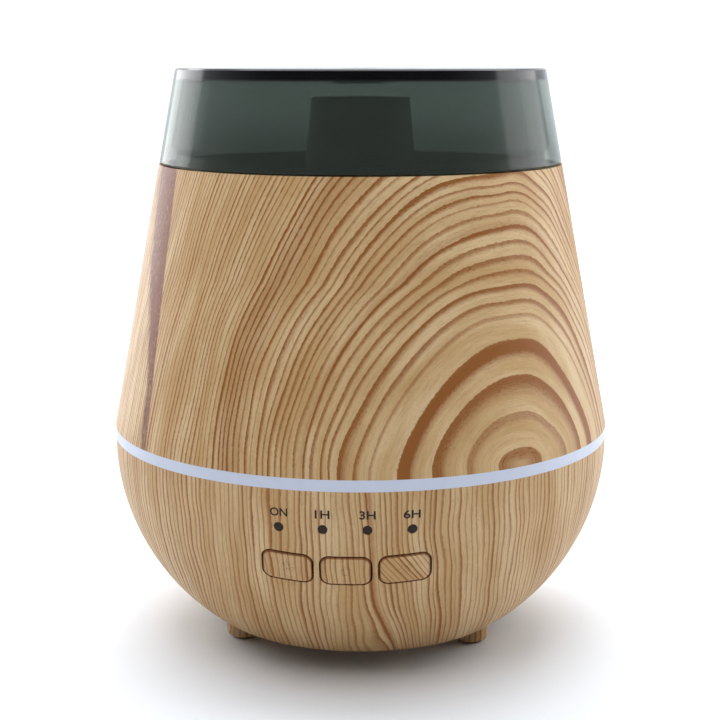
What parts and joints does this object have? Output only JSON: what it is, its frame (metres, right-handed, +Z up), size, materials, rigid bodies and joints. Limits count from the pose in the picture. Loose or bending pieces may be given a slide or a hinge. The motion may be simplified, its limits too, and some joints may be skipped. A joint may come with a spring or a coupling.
{
  "type": "ultrasonic aroma diffuser",
  "caption": "Table-top aroma diffuser: conical wood-film cover with a smoked mist crown over a bowl-shaped base with light ring, push buttons and feet.",
  "frame": {"origin": "centre of the footprint, on the surface that the feet stand on", "axes": "+Z up along the axis of the cover and the bowl, control panel towards -Y, power socket towards +Y"},
  "size_m": [0.14, 0.14, 0.159],
  "materials": {
    "wood_film_upper": "printed wood film, satin",
    "wood_film_lower": "printed wood film, satin",
    "wood_film_button": "printed wood film, satin",
    "wood_film_base": "printed wood film, satin",
    "smoked_plastic": "smoked translucent, polished",
    "milky_plastic": "milky translucent diffuser",
    "white_plastic": "moulded polypropylene",
    "dark_plastic": "moulded, fine texture",
    "guard_plastic": "moulded polypropylene, dark smoke",
    "clear_plastic": "moulded light pipe",
    "rubber_grey": "soft rubber",
    "silicone": "translucent silicone",
    "screw_steel": "zinc plated",
    "circuit_board": "glass epoxy with solder mask",
    "led_case": "LED packages",
    "copper_wire": "enamelled winding",
    "heat_sink_alu": "extruded, natural",
    "chip_black": "moulded epoxy",
    "can_blue": "sleeved aluminium can",
    "piezo_steel": "steel-faced piezo ceramic",
    "contact_brass": "plated contact",
    "lead_sheath": "insulated lead"
  },
  "bodies": {
    "base": {"water_tank": "white_plastic", "air_riser": "white_plastic", "tank_gasket": "silicone", "transducer_disc": "piezo_steel", "transducer_seal": "silicone", "transducer_retainer": "dark_plastic", "transducer_screws": "screw_steel", "light_ring": "milky_plastic", "light_board": "circuit_board", "ring_leds": "led_case", "control_board": "circuit_board", "control_board_screws": "screw_steel", "tact_switches": "chip_black", "indicator_leds": "led_case", "indicator_light_pipe": "clear_plastic", "lower_shell": "wood_film_lower", "bottom_cover": "wood_film_base", "foot_pad_left": "rubber_grey", "foot_pad_right": "rubber_grey", "foot_pad_rear": "rubber_grey", "base_screws": "screw_steel", "fan_frame": "dark_plastic", "fan_screws": "screw_steel", "fan_gasket": "rubber_grey", "fan_bush": "contact_brass", "fan_stator": "copper_wire", "fan_duct": "white_plastic", "main_board": "circuit_board", "main_board_screws": "screw_steel", "driver_coil": "copper_wire", "power_capacitor": "can_blue", "driver_chip": "chip_black", "heat_sink": "heat_sink_alu", "power_transistor": "chip_black", "board_connectors": "white_plastic", "power_socket": "chip_black", "socket_pin": "contact_brass", "transducer_lead": "lead_sheath", "power_lead": "lead_sheath", "fan_lead": "lead_sheath", "light_lead": "lead_sheath", "control_lead": "lead_sheath"},
    "top_cover": {"upper_shell": "wood_film_upper", "smoked_crown": "smoked_plastic"},
    "splash_guard": {"inner_cover": "guard_plastic"},
    "light_key": {"light_button": "wood_film_button", "light_plunger": "dark_plastic"},
    "power_key": {"power_button": "wood_film_button", "power_plunger": "dark_plastic"},
    "mist_key": {"mist_button": "wood_film_button", "mist_plunger": "dark_plastic"},
    "rotor": {"fan_rotor": "dark_plastic", "fan_shaft": "screw_steel"}
  },
  "joints": [
    {"name": "cover_lift", "type": "slide", "parent": "base", "child": "top_cover", "axis": [0, 0, 1], "range_m": [0, 0.18]},
    {"name": "guard_lift", "type": "slide", "parent": "base", "child": "splash_guard", "axis": [0, 0, 1], "range_m": [0, 0.081]},
    {"name": "light_press", "type": "slide", "parent": "base", "child": "light_key", "axis": [0, 0.9439, 0.3303], "range_m": [0, 0.0005], "stiffness_N_per_m": 1500},
    {"name": "power_press", "type": "slide", "parent": "base", "child": "power_key", "axis": [0, 0.9439, 0.3303], "range_m": [0, 0.0005], "stiffness_N_per_m": 1500},
    {"name": "mist_press", "type": "slide", "parent": "base", "child": "mist_key", "axis": [0, 0.9439, 0.3303], "range_m": [0, 0.0005], "stiffness_N_per_m": 1500},
    {"name": "rotor_spin", "type": "hinge", "parent": "base", "child": "rotor", "pos_m": [0, 0.012, 0.015], "axis": [0, 0, 1], "continuous": true}
  ],
  "couplings": [
    {"joint": "guard_lift", "follows": "cover_lift", "ratio": 0.45}
  ]
}
